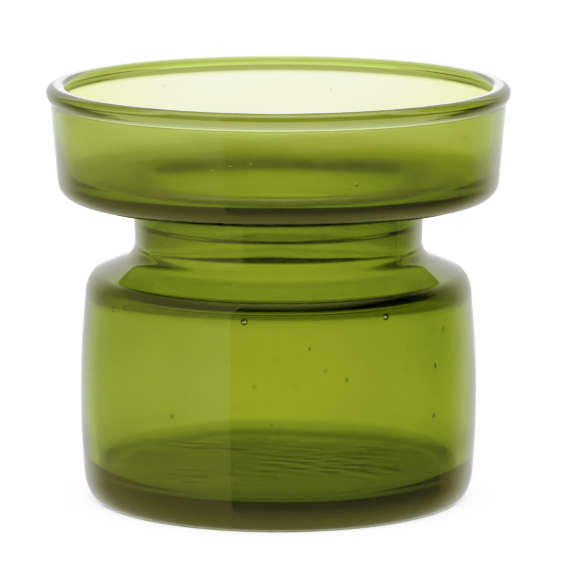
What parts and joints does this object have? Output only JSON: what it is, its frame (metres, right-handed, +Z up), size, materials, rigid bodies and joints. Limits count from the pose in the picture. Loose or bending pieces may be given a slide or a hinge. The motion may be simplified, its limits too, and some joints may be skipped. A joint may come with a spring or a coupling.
{
  "type": "waisted posy vessel",
  "caption": "Waisted olive-green glass posy vessel: an open dish on a narrow open neck above a round water reservoir, moulded in one piece.",
  "frame": {"origin": "centre of the flat base, on the surface that the vessel stands on", "axes": "+Z up along the axis of revolution; X and Y are alike, and the reference view looks along +Y"},
  "size_m": [0.09, 0.09, 0.0808],
  "materials": {
    "green_glass": "clear fire-polished glass"
  },
  "bodies": {
    "root": {"glass_vessel": "green_glass"}
  },
  "joints": []
}
